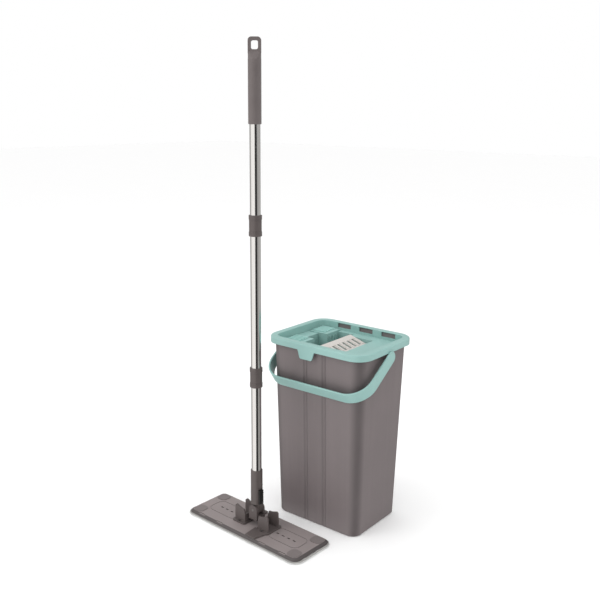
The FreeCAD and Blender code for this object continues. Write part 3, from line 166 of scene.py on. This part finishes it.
class Shader:
    """A small helper that builds one procedural material around a Principled BSDF."""

    def __init__(self, name):
        self.material = bpy.data.materials.new(name)
        self.material.use_nodes = True
        self.tree = self.material.node_tree
        self.surface = self.tree.nodes["Principled BSDF"]
        self.where = self.add("ShaderNodeTexCoord").outputs["Object"]

    def add(self, kind, **settings):
        node = self.tree.nodes.new(kind)
        for name, value in settings.items():
            setattr(node, name, value)
        return node

    def link(self, source, target):
        self.tree.links.new(source, target)

    def fixed(self, **values):
        """Sets sockets that are the same all over the surface."""
        for name, value in values.items():
            self.surface.inputs[name.replace("_", " ")].default_value = value

    def stretched(self, x, y, z):
        mapping = self.add("ShaderNodeMapping")
        mapping.inputs["Scale"].default_value = (x, y, z)
        self.link(self.where, mapping.inputs["Vector"])
        return mapping.outputs[0]

    def noise(self, scale, detail=3.0, rough=0.55, vector=None):
        node = self.add("ShaderNodeTexNoise")
        node.inputs["Scale"].default_value = scale
        node.inputs["Detail"].default_value = detail
        node.inputs["Roughness"].default_value = rough
        self.link(vector or self.where, node.inputs["Vector"])
        return node.outputs["Fac"]

    def cells(self, scale, vector=None, feature="F1"):
        node = self.add("ShaderNodeTexVoronoi", feature=feature)
        node.inputs["Scale"].default_value = scale
        self.link(vector or self.where, node.inputs["Vector"])
        return node.outputs["Distance"]

    def span(self, value, low, high, to_low=0.0, to_high=1.0):
        node = self.add("ShaderNodeMapRange", clamp=True)
        for name, number in (("From Min", low), ("From Max", high), ("To Min", to_low), ("To Max", to_high)):
            node.inputs[name].default_value = number
        self.link(value, node.inputs["Value"])
        return node.outputs[0]

    def math(self, operation, first, second):
        node = self.add("ShaderNodeMath", operation=operation)
        for socket, value in zip(node.inputs, (first, second)):
            if isinstance(value, (int, float)):
                socket.default_value = value
            else:
                self.link(value, socket)
        return node.outputs[0]

    def blend(self, amount, first, second):
        """Mixes two colours, each a tuple or a socket, by a factor socket."""
        node = self.add("ShaderNodeMix", data_type="RGBA")
        self.link(amount, node.inputs[0])
        for socket, value in ((node.inputs[6], first), (node.inputs[7], second)):
            if isinstance(value, tuple):
                socket.default_value = (*value, 1)
            else:
                self.link(value, socket)
        return node.outputs[2]

    def edge_mask(self, radius):
        """1 on edges that handling would rub, 0 on flat faces."""
        bevel = self.add("ShaderNodeBevel", samples=4)
        bevel.inputs["Radius"].default_value = radius
        true_normal = self.add("ShaderNodeNewGeometry").outputs["Normal"]
        dot = self.add("ShaderNodeVectorMath", operation="DOT_PRODUCT")
        self.link(bevel.outputs[0], dot.inputs[0])
        self.link(true_normal, dot.inputs[1])
        return self.span(dot.outputs["Value"], 0.99, 0.80)

    def bumps(self, layers, rounding=0.0):
        """Chains bump maps. Layers are (height socket, depth in metres). Rounding softens edges first."""
        normal = None
        if rounding:
            bevel = self.add("ShaderNodeBevel", samples=4)
            bevel.inputs["Radius"].default_value = rounding
            normal = bevel.outputs[0]
        for height, depth in layers:
            bump = self.add("ShaderNodeBump")
            bump.inputs["Strength"].default_value = 1.0
            bump.inputs["Distance"].default_value = depth
            self.link(height, bump.inputs["Height"])
            if normal is not None:
                self.link(normal, bump.inputs["Normal"])
            normal = bump.outputs[0]
        self.link(normal, self.surface.inputs["Normal"])

    def finish(self, colour, roughness):
        self.link(colour, self.surface.inputs["Base Color"])
        self.link(roughness, self.surface.inputs["Roughness"])
        return self.material


def paint(name, colour, roughness):
    """A quiet matt surface with a faint mottle."""
    s = Shader(name)
    mottle = s.noise(3.0)
    tone = s.blend(mottle, colour, tuple(c * 0.985 for c in colour))
    return s.finish(tone, s.span(mottle, 0, 1, roughness - 0.03, roughness + 0.03))


def moulded(name, colour, rough=0.42, grain=1500.0, depth=0.00003, rounding=0.0006, wear=0.10, flow=0.0,
            glow=0.0, tone=0.05, painted_corner_shade=0.0, painted_side_shade=0.0, painted_highlight_height=None):
    """Moulded plastic: spark-eroded grain, slow changes of tone, faint flow lines, rubbed edges, fine
    scuffs.
    Options paint shade on upright faces that turn between front and side, paint shade on all faces but level
    ones, and paint a highlight on everything above a given height."""
    s = Shader(name)
    cloud = s.noise(9.0, 2.0)
    speck = s.noise(900.0, 2.0, 0.7)
    darker = tuple(c * (1 - tone) for c in colour)
    lighter = tuple(min(1.0, c * (1 + tone)) for c in colour)
    shade = s.blend(s.span(cloud, 0.3, 0.7), darker, lighter)
    shade = s.blend(s.span(speck, 0.35, 0.75, 0.0, 0.35), shade, tuple(c * 0.86 for c in colour))
    if flow:
        lines = s.noise(1.0, 3.0, 0.6, s.stretched(70, 70, 1.2))
        shade = s.blend(s.span(lines, 0.45, 0.75, 0.0, flow), shade, tuple(min(1, c * 1.18) for c in colour))
    rubbed = s.math("MULTIPLY", s.edge_mask(0.0009), s.span(s.noise(60.0, 3.0), 0.35, 0.65))
    bared = tuple(min(1, c * 1.5 + 0.04) for c in colour)
    shade = s.blend(s.math("MULTIPLY", rubbed, wear * 3), shade, bared)
    facing = s.add("ShaderNodeSeparateXYZ")
    s.link(s.add("ShaderNodeTexCoord").outputs["Normal"], facing.inputs[0])
    # Painted shade: darkens upright faces turned between front and side, which are the bucket's rounded
    # corners and groove flanks.
    if painted_corner_shade:
        twist = s.math("MULTIPLY", facing.outputs["X"], facing.outputs["Y"])
        strength = s.span(s.math("ABSOLUTE", twist, 0.0), 0.06, 0.48, 0.0, painted_corner_shade)
        shade = s.blend(strength, shade, tuple(c * 0.25 for c in colour))
    # Painted shade: darkens every face that is not level, such as the mop plate's sides.
    if painted_side_shade:
        strength = s.span(s.math("ABSOLUTE", facing.outputs["Z"], 0.0), 0.84, 0.95, painted_side_shade, 0.0)
        shade = s.blend(strength, shade, tuple(c * 0.12 for c in colour))
    # Painted highlight: lightens everything above the given height, such as the tray's rib tops.
    if painted_highlight_height:
        height = s.add("ShaderNodeSeparateXYZ")
        s.link(s.where, height.inputs[0])
        strength = s.span(height.outputs["Z"], painted_highlight_height, painted_highlight_height + 0.0008, 0.0, 0.55)
        shade = s.blend(strength, shade, tuple(min(1, c * 1.5) for c in colour))
    scratch = s.span(s.noise(1.0, 2.0, 0.5, s.stretched(900, 900, 26)), 0.66, 0.72)
    satin = s.span(cloud, 0.25, 0.75, rough - 0.05, rough + 0.05)
    roughness = s.math("ADD", satin, s.math("MULTIPLY", scratch, 0.10))
    roughness = s.math("SUBTRACT", roughness, s.math("MULTIPLY", rubbed, 0.10))
    grains = s.cells(grain)
    fine = s.noise(grain * 1.9, 2.0, 0.6)
    s.bumps([(s.noise(14.0, 1.0), 0.0006), (grains, depth), (fine, depth * 0.6)], rounding)
    if glow:
        s.fixed(Subsurface_Weight=glow, Subsurface_Radius=(0.9, 1.0, 1.0), Subsurface_Scale=0.002)
    s.fixed(IOR=1.49)
    return s.finish(shade, roughness)


def soft_rubber(name, colour, rough=0.62):
    """Soft-touch grip: matt, slightly dusty, with a fine pebble."""
    s = Shader(name)
    dust = s.noise(26.0, 4.0, 0.6)
    dusty = tuple(min(1, c * 1.16 + 0.006) for c in colour)
    shade = s.blend(s.span(dust, 0.35, 0.75, 0.0, 0.7), colour, dusty)
    pebble = s.cells(1300.0, feature="SMOOTH_F1")
    s.bumps([(pebble, 0.00005), (s.noise(2600.0, 2.0), 0.00002)], 0.0007)
    s.fixed(Sheen_Weight=0.12, Sheen_Roughness=0.5, IOR=1.5)
    return s.finish(shade, s.span(dust, 0.2, 0.8, rough - 0.06, rough + 0.06))


def polished_steel(name):
    """Thin stainless tube: drawn lengthwise, polished, with fingerprints' faint haze."""
    s = Shader(name)
    drawn = s.noise(1.0, 4.0, 0.65, s.stretched(1500, 1500, 9))
    haze = s.noise(17.0, 3.0, 0.6)
    shade = s.blend(s.span(drawn, 0.3, 0.7), (0.70, 0.695, 0.68), (0.80, 0.795, 0.785))
    roughness = s.math("ADD", s.span(drawn, 0.3, 0.7, 0.10, 0.17), s.span(haze, 0.5, 0.8, 0.0, 0.07))
    s.bumps([(drawn, 0.000006), (s.noise(1.0, 2.0, 0.5, s.stretched(300, 300, 2)), 0.000012)])
    s.fixed(Metallic=1.0)
    return s.finish(shade, roughness)


def turned_steel(name):
    """Small pins and screws: turned rings and a darker oily tone."""
    s = Shader(name)
    rings = s.noise(1.0, 3.0, 0.6, s.stretched(1200, 300, 1200))
    shade = s.blend(s.span(rings, 0.3, 0.7), (0.16, 0.155, 0.15), (0.30, 0.29, 0.285))
    s.bumps([(rings, 0.00001)], 0.0003)
    s.fixed(Metallic=1.0)
    return s.finish(shade, s.span(rings, 0.3, 0.7, 0.24, 0.38))


def microfibre(name, colour, scale=900.0):
    """Split-fibre yarn: fluffy, matt, with painted shade in the gaps between strands."""
    s = Shader(name)
    strands = s.noise(scale, 4.0, 0.7)
    tufts = s.cells(scale * 0.42, feature="SMOOTH_F1")
    # Painted shade: darker towards the gaps between tufts.
    shade = s.blend(s.span(tufts, 0.15, 0.75), colour, tuple(c * 0.80 for c in colour))
    shade = s.blend(s.span(strands, 0.55, 0.85, 0.0, 0.5), shade, tuple(c * 0.9 for c in colour))
    s.bumps([(tufts, 0.0009), (strands, 0.0003)])
    s.fixed(Sheen_Weight=0.35, Sheen_Roughness=0.6, Specular_IOR_Level=0.2)
    return s.finish(shade, s.span(strands, 0, 1, 0.88, 0.98))


def woven_tape(name, colour, scale=900.0):
    """A narrow woven tape: ribs across, a twill shift, matt thread."""
    s = Shader(name)
    ribs = s.add("ShaderNodeTexWave", wave_type="BANDS", bands_direction="DIAGONAL")
    ribs.inputs["Scale"].default_value = scale / 3
    ribs.inputs["Distortion"].default_value = 0.6
    s.link(s.where, ribs.inputs["Vector"])
    shade = s.blend(s.span(ribs.outputs["Fac"], 0.1, 0.9), tuple(c * 0.62 for c in colour), colour)
    s.bumps([(ribs.outputs["Fac"], 0.0003), (s.noise(scale * 2), 0.00008)])
    s.fixed(Sheen_Weight=0.2, Sheen_Roughness=0.5)
    return s.finish(shade, s.span(ribs.outputs["Fac"], 0, 1, 0.78, 0.9))


def hook_tape(name):
    """The hook side of a touch fastener: rows of tiny dark hooks."""
    s = Shader(name)
    hooks = s.cells(620.0)
    shade = s.blend(s.span(hooks, 0.1, 0.5), (0.05, 0.046, 0.044), (0.012, 0.011, 0.011))
    s.bumps([(s.span(hooks, 0.0, 0.5, 1.0, 0.0), 0.0008)])
    return s.finish(shade, s.span(hooks, 0, 1, 0.5, 0.8))


# ---------------------------------------------------------------- mesh helpers

def new_piece(name, build, material, body, smooth=True):
    """A mesh object from a function that fills a bmesh."""
    mesh = bpy.data.meshes.new(name)
    bm = bmesh.new()
    build(bm)
    bmesh.ops.recalc_face_normals(bm, faces=bm.faces)
    bm.to_mesh(mesh)
    bm.free()
    piece = bpy.data.objects.new(name, mesh)
    bpy.context.scene.collection.objects.link(piece)
    mesh.materials.append(material)
    if smooth:
        for face in mesh.polygons:
            face.use_smooth = True
    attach(piece, body)
    return piece


def mop_frame():
    """The mop's own axes in the row frame, from the tilt hinge, one of the two hinges between its plate and
    handle.
    """
    tilt = joints["handle_tilt"]
    along = Vector(tilt["axis"]).normalized()
    up = Vector((0, 0, 1))
    across = up.cross(along)
    foot = Vector(tilt["pos_m"])
    turn = Matrix((along, across, up)).transposed().to_4x4()
    return Matrix.Translation(Vector((foot.x, foot.y, 0))) @ turn


MOP = mop_frame()


def round_loop(half_x, half_y, radius, steps=10):
    """Points round a rectangle with round corners, counterclockwise, with their outward directions."""
    loop = []
    for corner, (side_x, side_y) in enumerate(((1, 1), (-1, 1), (-1, -1), (1, -1))):
        centre = Vector((side_x * (half_x - radius), side_y * (half_y - radius), 0))
        for step in range(steps + 1):
            angle = math.radians(90 * corner + 90 * step / steps)
            out = Vector((math.cos(angle), math.sin(angle), 0))
            loop.append((centre + out * radius, out))
    return loop


def walk(half_x, half_y, radius, count):
    """Evenly spaced points and outward directions round the same rectangle."""
    loop = round_loop(half_x, half_y, radius, 24)
    points = [p for p, _ in loop]
    lengths = [(points[(i + 1) % len(points)] - p).length for i, p in enumerate(points)]
    total = sum(lengths)
    spots = []
    index, passed = 0, 0.0
    for number in range(count):
        goal = total * number / count
        while passed + lengths[index] < goal:
            passed += lengths[index]
            index += 1
        part = (goal - passed) / lengths[index]
        following = (index + 1) % len(points)
        place = points[index].lerp(points[following], part)
        out = loop[index][1].lerp(loop[following][1], part).normalized()
        spots.append((place, out))
    return spots


def add_tube(bm, path, radius, sides=6):
    """A round tube along a path of points, closed at both ends."""
    rings = []
    for index, point in enumerate(path):
        ahead = path[min(index + 1, len(path) - 1)] - path[max(index - 1, 0)]
        ahead.normalize()
        side = ahead.cross(Vector((0.13, 0.21, 0.97)))
        if side.length < 1e-4:
            side = ahead.cross(Vector((1, 0, 0)))
        side.normalize()
        other = ahead.cross(side)
        ring = []
        for step in range(sides):
            angle = 2 * math.pi * step / sides
            ring.append(bm.verts.new(point + (side * math.cos(angle) + other * math.sin(angle)) * radius))
        rings.append(ring)
    for low, high in zip(rings, rings[1:]):
        for step in range(sides):
            bm.faces.new((low[step], low[(step + 1) % sides], high[(step + 1) % sides], high[step]))
    bm.faces.new(rings[0][::-1])
    bm.faces.new(rings[-1])


# ---------------------------------------------------------------- microfibre pad

# The pad's half length, half width, corner radius and thickness, as in the CAD model
PAD_HALF_X, PAD_HALF_Y, PAD_CORNER, PAD_TOP = 0.171, 0.0605, 0.021, 0.0042


def build_pad_core(bm):
    """A thin crowned slab, a little smaller than its final size, in rings from the rim inwards."""
    shrink = 0.002
    edge_drop = 0.0009
    profile = [(0.0, edge_drop), (0.0010, 0.0003), (0.003, 0.0), (0.012, 0.0)]
    rows = list(reversed(profile))
    rows += [(inset, PAD_TOP - edge_drop - low) for inset, low in profile]
    rings = []
    for inset, level in rows:
        side_x, side_y = PAD_HALF_X - shrink - inset, PAD_HALF_Y - shrink - inset
        loop = round_loop(side_x, side_y, PAD_CORNER - inset * 0.7, 8)
        rings.append([bm.verts.new(MOP @ Vector((p.x, p.y, level + 0.0005))) for p, _ in loop])
    for low, high in zip(rings, rings[1:]):
        count = len(low)
        for i in range(count):
            bm.faces.new((low[i], low[(i + 1) % count], high[(i + 1) % count], high[i]))
    bm.faces.new(rings[0][::-1])
    bm.faces.new(rings[-1])


def puff(piece, voxel, pressure, frames, cap):
    """Swells a closed mesh like stuffed cloth, holds every point within cap of its start, and applies it."""
    remesh = piece.modifiers.new("remesh", "REMESH")
    remesh.mode = "VOXEL"
    remesh.voxel_size = voxel
    apply_modifiers(piece)
    before = [v.co.copy() for v in piece.data.vertices]
    cloth = piece.modifiers.new("cloth", "CLOTH")
    cloth.settings.use_pressure = True
    cloth.settings.uniform_pressure_force = pressure
    cloth.settings.effector_weights.gravity = 0
    cloth.settings.tension_stiffness = 20
    cloth.settings.compression_stiffness = 20
    cloth.point_cache.frame_start = 1
    cloth.point_cache.frame_end = frames
    scene = bpy.context.scene
    scene.frame_start, scene.frame_end = 1, frames
    for number in range(1, frames + 1):
        scene.frame_set(number)
        bpy.context.view_layer.update()
    apply_modifiers(piece)
    scene.frame_set(1)
    for vertex, start in zip(piece.data.vertices, before):
        shift = vertex.co - start
        if shift.length > cap:
            vertex.co = start + shift.normalized() * cap


def apply_modifiers(piece):
    graph = bpy.context.evaluated_depsgraph_get()
    made = bpy.data.meshes.new_from_object(piece.evaluated_get(graph))
    piece.modifiers.clear()
    old = piece.data
    piece.data = made
    bpy.data.meshes.remove(old)


def make_pad():
    cloth = microfibre("microfibre_white", (0.86, 0.86, 0.845))
    pad = new_piece("pad_core", build_pad_core, cloth, "mop_head")
    puff(pad, 0.0017, 3.0, 12, 0.0005)
    for vertex in pad.data.vertices:
        spot = vertex.co * 70
        vertex.co.z += noise.noise(spot) * 0.0002
        vertex.co.z = min(max(vertex.co.z, 0.0003), PAD_TOP - 0.0002)
    for face in pad.data.polygons:
        face.use_smooth = True
    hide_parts("mop_pad")

    tape = woven_tape("binding_tape", (0.50, 0.485, 0.47))
    binding = new_piece("pad_binding", build_binding, tape, "mop_head")
    thread = woven_tape("stitch_thread", (0.26, 0.25, 0.245), 2400.0)
    stitches = new_piece("pad_stitches", build_stitches, thread, "mop_head")
    yarn = microfibre("yarn_white", (0.90, 0.90, 0.885), 1500.0)
    loops = new_piece("pad_loops", build_loops, yarn, "mop_head")
    threads = new_piece("pad_loose_threads", build_threads, yarn, "mop_head")


def build_binding(bm):
    """The folded tape that is sewn round the pad's edge, a little wavy."""
    profile = [(-0.0042, 0.0039), (-0.0016, 0.0041), (0.0000, 0.0039), (0.0005, 0.0034), (0.0005, 0.0027),
               (0.0000, 0.0022), (-0.0014, 0.0021), (-0.0022, 0.0026), (-0.0026, 0.0034)]
    spots = walk(PAD_HALF_X - 0.0012, PAD_HALF_Y - 0.0012, PAD_CORNER - 0.001, 420)
    rings = []
    for number, (place, out) in enumerate(spots):
        lift = 0.00025 * math.sin(number * 0.55) + 0.0002 * noise.noise(place * 90)
        ring = []
        for reach, level in profile:
            point = place + out * (reach + lift)
            ring.append(bm.verts.new(MOP @ Vector((point.x, point.y, level + lift * 0.6))))
        rings.append(ring)
    for index, ring in enumerate(rings):
        following = rings[(index + 1) % len(rings)]
        for step in range(len(ring)):
            after = (step + 1) % len(ring)
            bm.faces.new((ring[step], ring[after], following[after], following[step]))


def build_stitches(bm):
    """A line of lock stitches along the outside of the binding."""
    spots = walk(PAD_HALF_X - 0.0005, PAD_HALF_Y - 0.0005, PAD_CORNER, 300)
    for number, (place, out) in enumerate(spots):
        along = Vector((-out.y, out.x, 0))
        path = []
        for part in (-1.0, -0.5, 0.0, 0.5, 1.0):
            point = place + along * part * 0.0011 + out * (0.0002 * (1 - part * part))
            path.append(MOP @ Vector((point.x, point.y, 0.0031)))
        add_tube(bm, path, 0.00020, 5)


def build_loops(bm):
    """Short loops of yarn that show all round under the binding."""
    count = 880
    for layer, (reach, level, size) in enumerate(((0.0, 0.0022, 1.0), (0.0006, 0.0014, 1.1))):
        for place, out in walk(PAD_HALF_X - 0.0012, PAD_HALF_Y - 0.0012, PAD_CORNER - 0.001, count):
            along = Vector((-out.y, out.x, 0))
            long = random.uniform(0.0016, 0.0030) * size
            wide = random.uniform(0.0007, 0.0012)
            lean = random.uniform(-0.0010, 0.0010)
            drop = random.uniform(0.0002, 0.0008)
            path = []
            for step in range(7):
                angle = math.pi * step / 6
                point = place + along * (math.cos(angle) * wide + lean * math.sin(angle))
                point += out * (reach - 0.0012 + math.sin(angle) * long)
                height = max(0.0006, level - drop * math.sin(angle) + 0.0002 * math.cos(angle * 3 + layer))
                path.append(MOP @ Vector((point.x, point.y, height)))
            add_tube(bm, path, 0.00042, 5)


def build_threads(bm):
    """A few pulled threads at the right-hand corner, as on a used pad."""
    for place, out in walk(PAD_HALF_X, PAD_HALF_Y, PAD_CORNER, 900):
        if place.x < 0.125 or random.random() > 0.16:
            continue
        along = Vector((-out.y, out.x, 0))
        drift = random.uniform(-0.006, 0.006)
        reach = random.uniform(0.001, 0.0042)
        path = []
        for step in range(9):
            part = step / 8
            stray = reach * math.sin(math.pi * min(part * 1.2, 1.0)) - 0.0006
            point = place + along * drift * part + out * stray
            height = 0.0024 - 0.0016 * part + 0.0004 * math.sin(part * 9)
            path.append(MOP @ Vector((point.x, point.y, max(height, 0.0006))))
        add_tube(bm, path, 0.00022, 5)


# ---------------------------------------------------------------- CAD nodes' materials

TAUPE = (0.168, 0.142, 0.144)
# Height above which the tray's rib tops get a painted highlight
PAINTED_HIGHLIGHT_RIB_HEIGHT = 0.4108
DARK_TAUPE = (0.094, 0.077, 0.074)
MINT = (0.285, 0.480, 0.450)


def dress(material, *names):
    for name in names:
        node = nodes[name]
        node.data.materials.clear()
        node.data.materials.append(material)


def dress_nodes():
    # The bucket's darker corners and groove lines are painted shade, not its moulded colour.
    dress(moulded("bucket_taupe", TAUPE, 0.44, 1400.0, 0.00003, flow=0.25, painted_corner_shade=0.42), "bucket_body")
    dress(moulded("collar_mint", MINT, 0.34, 1700.0, 0.000018, glow=0.12, wear=0.05), "collar", "slot_chute")
    # The tray's lighter rib tops are a painted highlight.
    dress(moulded("tray_mint", MINT, 0.36, 1700.0, 0.00002, glow=0.12, wear=0.05, painted_highlight_height=PAINTED_HIGHLIGHT_RIB_HEIGHT),
          "wringer_tray")
    dress(moulded("bail_mint", MINT, 0.32, 1900.0, 0.000016, glow=0.10, wear=0.06, flow=0.15), "bail_handle")
    dress(moulded("comb_grey", (0.60, 0.565, 0.535), 0.36, 1700.0, 0.00002, wear=0.05), "wringer_comb")
    # The plate's darker sides are painted shade.
    dress(moulded("plate_taupe", (0.270, 0.232, 0.229), 0.5, 1100.0, 0.00005, painted_side_shade=0.8), "mop_plate")
    dress(moulded("bracket_taupe", (0.105, 0.087, 0.084), 0.42, 1300.0, 0.00004), "left_bracket",
          "right_bracket")
    dress(moulded("joint_taupe", DARK_TAUPE, 0.40, 1500.0, 0.00003), "yoke", "handle_socket", "lower_sleeve",
          "upper_sleeve")
    dress(moulded("sole_black", (0.03, 0.028, 0.028), 0.6, 900.0, 0.00006), "plate_sole", "lower_coupler",
          "upper_coupler")
    dress(moulded("catch_black", (0.008, 0.007, 0.007), 0.5, 1500.0, 0.00004), "lock_catch")
    dress(soft_rubber("bumper_rubber", (0.165, 0.140, 0.138)), "corner_bumpers")
    dress(soft_rubber("grip_rubber", (0.118, 0.098, 0.096), 0.55), "grip")
    dress(polished_steel("tube_steel"), "lower_tube", "middle_tube", "upper_tube")
    dress(turned_steel("pin_steel"), "comb_pin", "tilt_pin", "fold_pin", "bracket_screws")
    dress(hook_tape("hook_tape"), "hook_strips")


make_camera()
make_world()
make_floor()
for light in LIGHTS:
    area_light(*light)
dress_nodes()
make_pad()
bpy.context.scene.view_settings.view_transform = "Standard"
